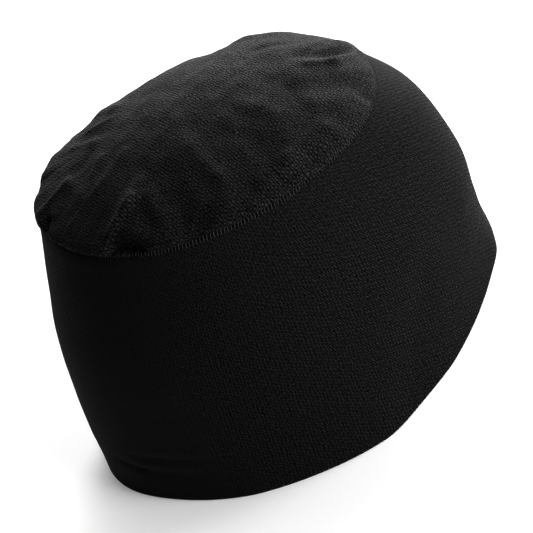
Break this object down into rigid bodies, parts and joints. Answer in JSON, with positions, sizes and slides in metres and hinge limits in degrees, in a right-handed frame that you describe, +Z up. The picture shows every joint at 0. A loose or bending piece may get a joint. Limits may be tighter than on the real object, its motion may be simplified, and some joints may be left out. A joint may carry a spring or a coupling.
{
  "type": "winter cap",
  "caption": "Close-fitting knit winter cap: a deep side panel with a turned hem that arches over the brow, and a loose, gathered oval crown panel.",
  "frame": {"origin": "bottom centre of the cap's box, on the surface it rests on", "axes": "+X to the forehead, +Y to the wearer's left, +Z up from the hem to the crown"},
  "size_m": [0.2124, 0.166, 0.149],
  "materials": {
    "side_knit": "matte",
    "crown_knit": "matte",
    "seam_thread": "matte"
  },
  "bodies": {
    "root": {"side_panel": "side_knit", "crown_panel": "crown_knit", "crown_seam": "seam_thread"}
  },
  "joints": []
}
